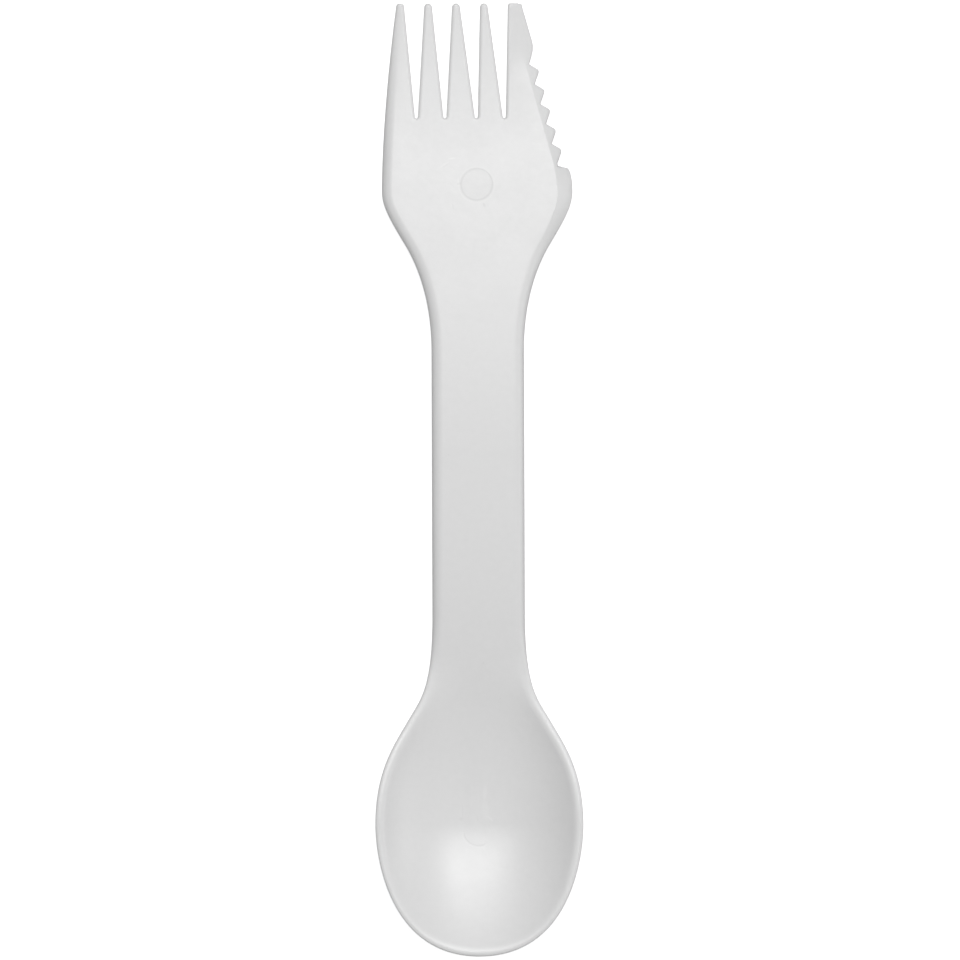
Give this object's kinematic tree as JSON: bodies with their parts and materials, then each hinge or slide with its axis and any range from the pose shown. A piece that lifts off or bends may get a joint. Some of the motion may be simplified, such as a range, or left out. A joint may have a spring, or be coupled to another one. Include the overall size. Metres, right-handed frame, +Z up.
{
  "type": "combined spoon, fork and knife",
  "caption": "One-piece plastic utensil with a spoon bowl at one end and, at the other, a fork whose outer tine is a toothed blade.",
  "frame": {"origin": "on the surface the utensil lies on, under the middle of its length and width", "axes": "+Y runs along the utensil to the fork's tips, +X points to the side that has the blade, +Z is up from the surface, with the hollow of the bowl facing up"},
  "size_m": [0.037, 0.17, 0.0073],
  "materials": {
    "white_plastic": "satin white moulded polypropylene"
  },
  "bodies": {
    "root": {"spoon_fork_knife": "white_plastic"}
  },
  "joints": []
}
